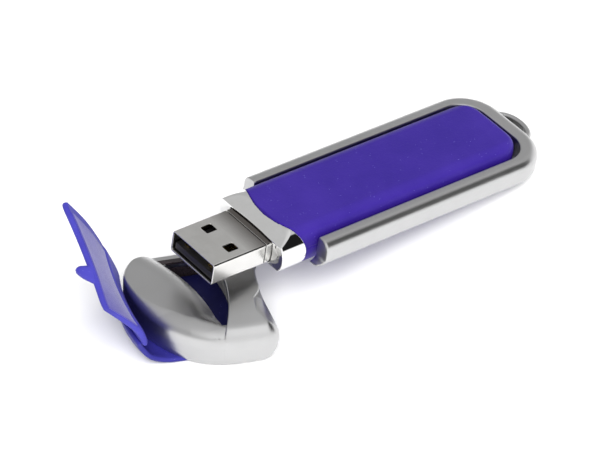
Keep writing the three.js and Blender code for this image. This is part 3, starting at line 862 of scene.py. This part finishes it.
def lining_place(u, v):
    """The part of the leaf that the lining covers, past the border and short of the far edge."""
    across = LINING_EDGE["near"] + (u + 1) / 2 * (LINING_EDGE["far"] - LINING_EDGE["near"])
    return leaf_place(across, LINING_EDGE["root"] + v * (LINING_EDGE["tip"] - LINING_EDGE["root"]))


def inner_face(place, height):
    """The surface at a height above another, on the side that faces the cap."""

    def raised(u, v):
        step = 1e-3
        here = place(u, v)
        over = place(u + step, v) - place(u - step, v)
        up = place(u, v + step) - place(u, v - step)
        normal = np.cross(over, up)
        return here + normal / (np.linalg.norm(normal, axis=-1)[..., None] + 1e-12) * height

    return raised


def leaf_spot(across):
    """A single point near the leaf's tail edge."""
    return LEAF(np.array([across]), np.array([TAB["along"]]))[0]


def tab_place(u, v):
    """A small pull tab that carries on from the near half of the tail edge, bent outwards."""
    root = leaf_spot(TAB["across"])
    end = np.sqrt(np.clip(1 - np.maximum(v - TAB["round_from"], 0) ** 2 / TAB["round"], 0.03, 1))
    width = (TAB["half"] - TAB["taper"] * v) * end
    forward = root[0] - TAB["length"] * v * TAB["forward"]
    height = root[2] + TAB["length"] * v * TAB["rise"]
    slant = leaf_spot(TAB["far"]) - leaf_spot(TAB["near"])
    slant = slant / slant[1]
    offset = u * width + TAB["skew"] * v
    return np.stack([forward + slant[0] * offset, root[1] + offset, height + slant[2] * offset], -1)


def blend_between(piece):
    """Bakes the piece's placement into its mesh."""
    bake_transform(piece)


def blend_over_bend(piece):
    """Bakes a piece of the leaf's placement into its mesh."""
    blend_between(piece)


def make_strap():
    strap = sheet_piece("strap_curl", ROOT, np.linspace(-1, 1, 61), eased(90), HALF_THICK["strap"])
    dress(strap, STRAP_LEATHER, "blue_leather", None, "strap_base")
    blend_between(strap)


def make_leaf():
    leaf = sheet_piece("flap_leaf", leaf_place, crosswise(90), eased(110), HALF_THICK["leaf"], border)
    dress(leaf, FLAP_LEATHER, "blue_leather", None, "flap_lower", "flap_upper")
    blend_over_bend(leaf)


def make_lining():
    surface = inner_face(lining_place, HALF_THICK["leaf"] + LINING_RISE)
    lining = sheet_piece("flap_lining", surface, crosswise(60), eased(90), HALF_THICK["lining"])
    dress(lining, LINING, "lining_leather", None)
    blend_over_bend(lining)


def make_tab():
    tab = sheet_piece("pull_tab", tab_place, crosswise(24), eased(24), HALF_THICK["tab"])
    dress(tab, FLAP_LEATHER, "blue_leather", "flap_upper")


# ---------------------------------------------------------------- the studio


# The sky by height, from the horizon up to the zenith, as places on the ramp and levels of grey.
SKY_STOPS = [(0.0, 1.0), (0.24, 1.0), (0.36, 0.44), (0.70, 0.48), (0.80, 0.64), (1.0, 0.56)]
SKY_STRENGTH = 1.25
# Directions with a level of their own: direction, inner and outer cosine from it, and level.
SKY_PATCHES = [
    ((0.1, 1.0, 0.1), 0.75, 0.35, 0.40),  # the grey far side
    ((-0.2, -0.68, 0.70), 0.95, 0.82, 1.15),  # the soft box
    ((0.65, -0.55, 0.48), 0.91, 0.88, 0.01),  # the dark patch
]
LIGHTS = [
    ("key_light", (-0.5, -0.7, 1.1), 1.0, 22.0),
    ("fill_light", (0.9, -0.3, 0.7), 0.9, 5.0),
]
# The photo's angle in degrees, its lens in millimetres, the distance in metres to where it aims, and that
# place in millimetres from the plug's tip.
VIEW = {"azimuth": -39.08, "elevation": 44.02, "lens": 253.1, "distance": 0.775, "aim": (24.8, -0.24, -6.7)}


def make_floor():
    bpy.ops.mesh.primitive_plane_add(size=6, location=(0, 0, 0))
    floor = bpy.context.object
    floor.name = "floor"
    nodes = Nodes("studio_floor")
    soft = nodes.noise(nodes.millimetres(), 0.02, 2.0)
    nodes.set(Base_Color=nodes.mixed(soft, colour(0.86, 0.86, 0.86), colour(0.88, 0.88, 0.88)), Roughness=0.9)
    nodes.set(Specular_IOR_Level=0.1)
    floor.data.materials.append(nodes.material)


def make_sky():
    """A room with a white horizon, a grey ceiling and the sky's patches."""
    world = bpy.data.worlds.new("studio")
    bpy.context.scene.world = world
    world.use_nodes = True
    tree = world.node_tree
    back = tree.nodes["Background"]
    place = tree.nodes.new("ShaderNodeTexCoord")
    split = tree.nodes.new("ShaderNodeSeparateXYZ")
    tree.links.new(place.outputs["Generated"], split.inputs[0])
    ramp = tree.nodes.new("ShaderNodeValToRGB")
    tree.links.new(split.outputs["Z"], ramp.inputs["Fac"])
    while len(ramp.color_ramp.elements) < len(SKY_STOPS):
        ramp.color_ramp.elements.new(0.5)
    for element, (position, grey) in zip(ramp.color_ramp.elements, SKY_STOPS):
        element.position = position
        element.color = colour(grey, grey, grey)
    shade = ramp.outputs["Color"]
    for patch in SKY_PATCHES:
        shade = sky_patch(tree, place.outputs["Generated"], shade, *patch)
    tree.links.new(shade, back.inputs["Color"])
    back.inputs["Strength"].default_value = SKY_STRENGTH


def sky_patch(tree, direction, shade, towards, inner, outer, level):
    """Gives the sky round one direction its own level; inner and outer are cosines from it."""
    dot = tree.nodes.new("ShaderNodeVectorMath")
    dot.operation = "DOT_PRODUCT"
    tree.links.new(direction, dot.inputs[0])
    dot.inputs[1].default_value = Vector(towards).normalized()
    share = tree.nodes.new("ShaderNodeMapRange")
    tree.links.new(dot.outputs["Value"], share.inputs["Value"])
    share.inputs["From Min"].default_value = outer
    share.inputs["From Max"].default_value = inner
    mix = tree.nodes.new("ShaderNodeMix")
    mix.data_type = "RGBA"
    tree.links.new(share.outputs["Result"], mix.inputs[0])
    tree.links.new(shade, mix.inputs[6])
    mix.inputs[7].default_value = colour(level, level, level)
    return mix.outputs[2]


def make_lights():
    for name, place, size, watts in LIGHTS:
        data = bpy.data.lights.new(name, "AREA")
        data.energy = watts
        data.size = size
        light = bpy.data.objects.new(name, data)
        light.location = place
        light.rotation_euler = Vector(place).to_track_quat("Z", "Y").to_euler()
        light.visible_glossy = False
        bpy.context.scene.collection.objects.link(light)


def make_camera():
    azimuth, elevation = math.radians(VIEW["azimuth"]), math.radians(VIEW["elevation"])
    back = Vector((
        math.sin(azimuth) * math.cos(elevation),
        -math.cos(azimuth) * math.cos(elevation),
        math.sin(elevation),
    ))
    aim = drive_origin + Vector(VIEW["aim"]) * MM
    data = bpy.data.cameras.new("camera")
    data.lens = VIEW["lens"]
    data.clip_start = 0.05
    camera = bpy.data.objects.new("camera", data)
    camera.location = aim + back * VIEW["distance"]
    camera.rotation_euler = back.to_track_quat("Z", "Y").to_euler()
    bpy.context.scene.collection.objects.link(camera)
    bpy.context.scene.camera = camera


for node_name, finish in CARRIED_OVER.items():
    node = frame["nodes"][node_name]
    node.data.materials.clear()
    node.data.materials.append(finish)
make_frame()
make_leather()
make_bezel()
make_plug()
make_lug()
make_cap()
make_strap()
make_leaf()
make_lining()
make_tab()
make_floor()
make_sky()
make_lights()
make_camera()
bpy.context.scene.view_settings.view_transform = "Standard"
